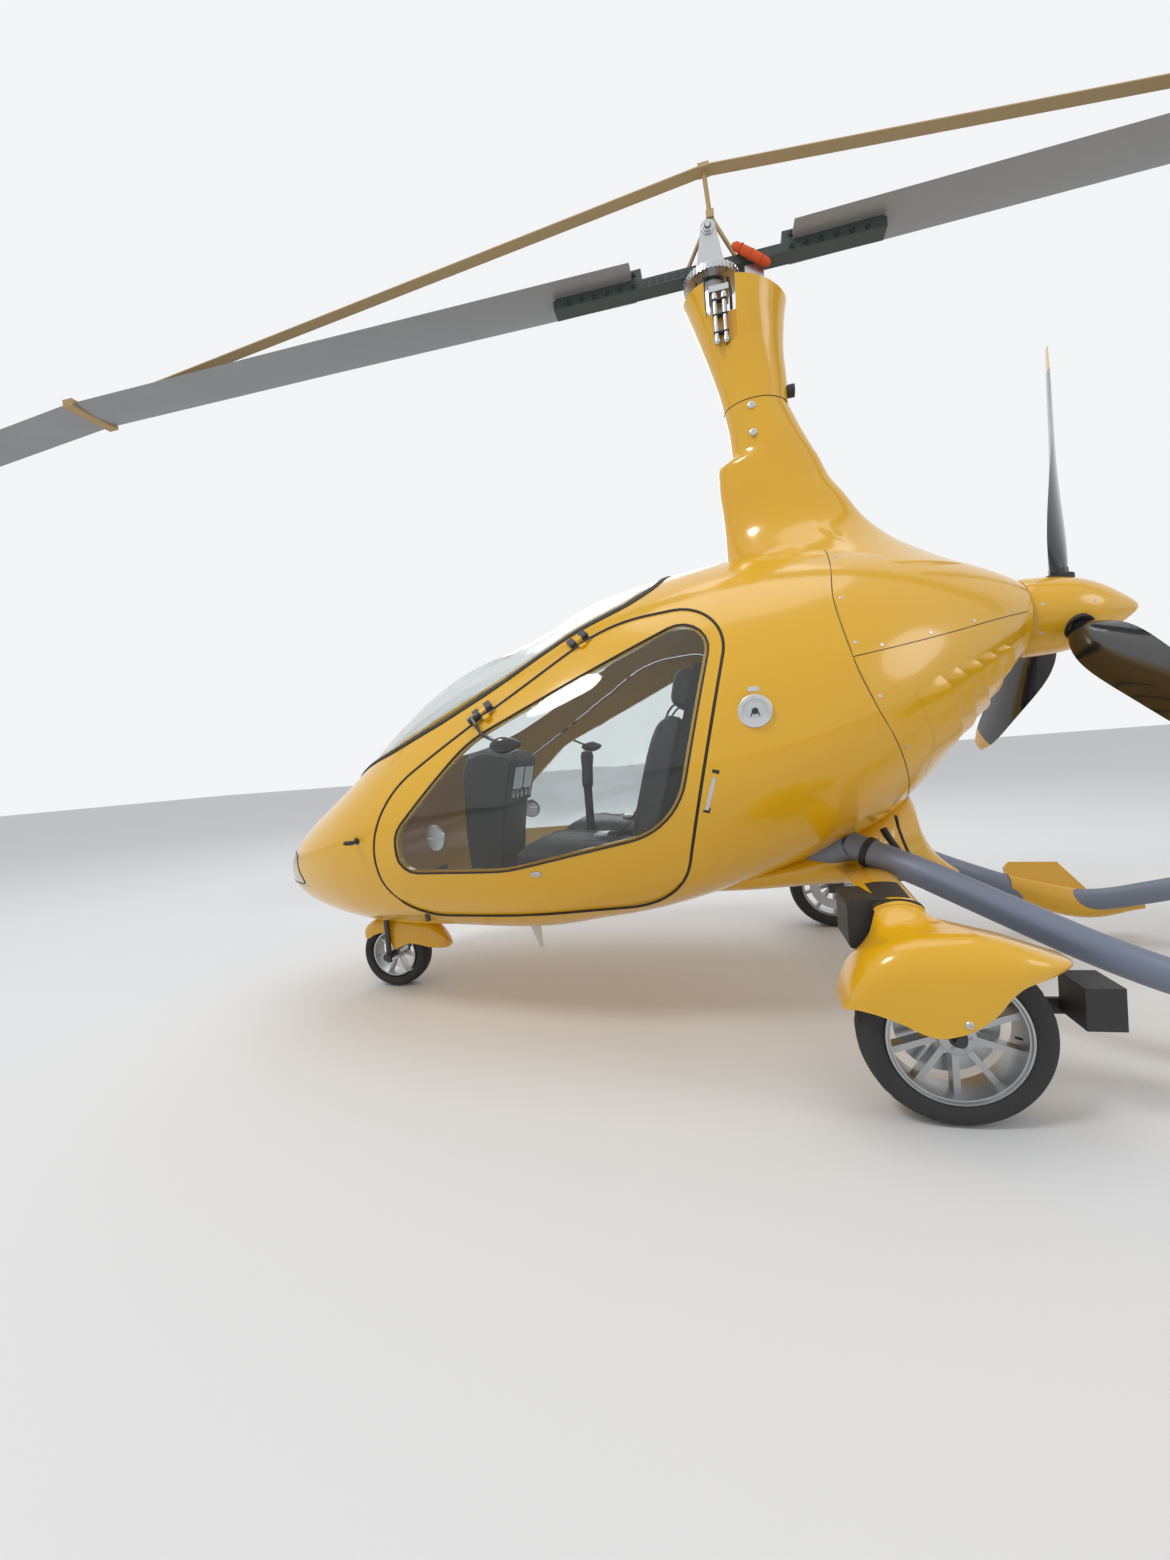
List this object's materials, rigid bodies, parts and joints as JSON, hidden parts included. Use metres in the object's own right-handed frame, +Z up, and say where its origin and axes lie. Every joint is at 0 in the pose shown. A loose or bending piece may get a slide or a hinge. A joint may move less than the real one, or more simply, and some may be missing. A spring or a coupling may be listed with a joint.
{
  "type": "gyrocopter",
  "caption": "Enclosed-cabin gyrocopter with side by side seats, a pusher propeller, a braced rotor on a faired mast, wheel pants and a tail unit on low booms",
  "frame": {"origin": "on the ground, below the rotor's axis, on the centre line", "axes": "+X aft along the body and the parked rotor, +Y to starboard, +Z up"},
  "size_m": [8.4, 1.8504, 3.023],
  "materials": {
    "body_paint": "golden yellow gloss paint on composite",
    "clear_glass": "lightly tinted clear acrylic",
    "lamp_glass": "clear lamp cover",
    "seal_rubber": "satin black",
    "boom_paint": "satin blue grey",
    "blade_skin": "satin grey",
    "bar_metal": "satin dark green grey",
    "bare_metal": "machined",
    "brace_webbing": "woven brown webbing on a metal post",
    "prop_composite": "gloss black composite",
    "engine_metal": "cast block",
    "wheel_metal": "cast light alloy",
    "tyre": "black rubber",
    "black_plastic": "matt black",
    "trim_panel": "dark grey lining",
    "seat_leather": "black leather"
  },
  "bodies": {
    "airframe": {"cabin_shell": "body_paint", "engine_cowling": "body_paint", "mast_fairing": "body_paint", "mast_head": "body_paint", "keel_fairing": "body_paint", "wheel_pants": "body_paint", "boom_fairings": "body_paint", "gear_bow": "body_paint", "outer_fins": "body_paint", "centre_fin": "body_paint", "tailplane": "body_paint", "windscreen": "clear_glass", "nose_lamps": "lamp_glass", "windscreen_seal": "seal_rubber", "tail_booms": "boom_paint", "boom_roots": "boom_paint", "rotor_bearing": "bare_metal", "push_rods": "bare_metal", "door_hinges": "bare_metal", "axle_carriers": "bare_metal", "filler_cap": "bare_metal", "engine": "engine_metal", "drive_boxes": "black_plastic", "rear_brackets": "black_plastic", "instrument_pod": "black_plastic", "control_sticks": "black_plastic", "beacon": "black_plastic", "cabin_floor": "trim_panel", "bulkhead": "trim_panel", "seats": "seat_leather"},
    "door_left": {"door_left": "body_paint", "door_glass_left": "clear_glass"},
    "door_right": {"door_right": "body_paint", "door_glass_right": "clear_glass"},
    "main_wheel_left": {"main_rim_left": "wheel_metal", "main_tyre_left": "tyre"},
    "main_wheel_right": {"main_rim_right": "wheel_metal", "main_tyre_right": "tyre"},
    "nose_fork": {"nose_fork": "bare_metal", "nose_mudguard": "body_paint"},
    "nose_wheel": {"nose_rim": "wheel_metal", "nose_tyre": "tyre"},
    "propeller": {"propeller": "prop_composite", "spinner": "body_paint"},
    "rotor": {"rotor_hub": "bare_metal", "hub_bar": "bar_metal", "blade_front": "blade_skin", "blade_rear": "blade_skin", "rotor_brace": "brace_webbing"},
    "rudder": {"rudder": "body_paint"}
  },
  "joints": [
    {"name": "door_left_hinge", "type": "hinge", "parent": "airframe", "child": "door_left", "pos_m": [-0.837, -0.56, 1.067], "axis": [-0.8271, -0.1882, -0.5295], "range_deg": [0, 72]},
    {"name": "door_right_hinge", "type": "hinge", "parent": "airframe", "child": "door_right", "pos_m": [-0.837, 0.56, 1.067], "axis": [0.8271, -0.1882, 0.5295], "range_deg": [0, 72]},
    {"name": "main_wheel_left_axle", "type": "hinge", "parent": "airframe", "child": "main_wheel_left", "pos_m": [0.405, -0.812, 0.21], "axis": [0, 1, 0], "continuous": true},
    {"name": "main_wheel_right_axle", "type": "hinge", "parent": "airframe", "child": "main_wheel_right", "pos_m": [0.405, 0.812, 0.21], "axis": [0, 1, 0], "continuous": true},
    {"name": "nose_steering", "type": "hinge", "parent": "airframe", "child": "nose_fork", "pos_m": [-1.512, 0, 0.38], "axis": [0, 0, 1], "range_deg": [-30, 30]},
    {"name": "nose_wheel_axle", "type": "hinge", "parent": "nose_fork", "child": "nose_wheel", "pos_m": [-1.512, 0, 0.145], "axis": [0, 1, 0], "continuous": true},
    {"name": "propeller_shaft", "type": "hinge", "parent": "airframe", "child": "propeller", "pos_m": [1, 0, 1.268], "axis": [1, 0, 0], "continuous": true},
    {"name": "rotor_shaft", "type": "hinge", "parent": "airframe", "child": "rotor", "pos_m": [0, 0, 2.55], "axis": [0, 0, 1], "continuous": true},
    {"name": "rudder_hinge", "type": "hinge", "parent": "airframe", "child": "rudder", "pos_m": [2.49, 0, 0.85], "axis": [0, 0, 1], "range_deg": [-28, 28]}
  ]
}
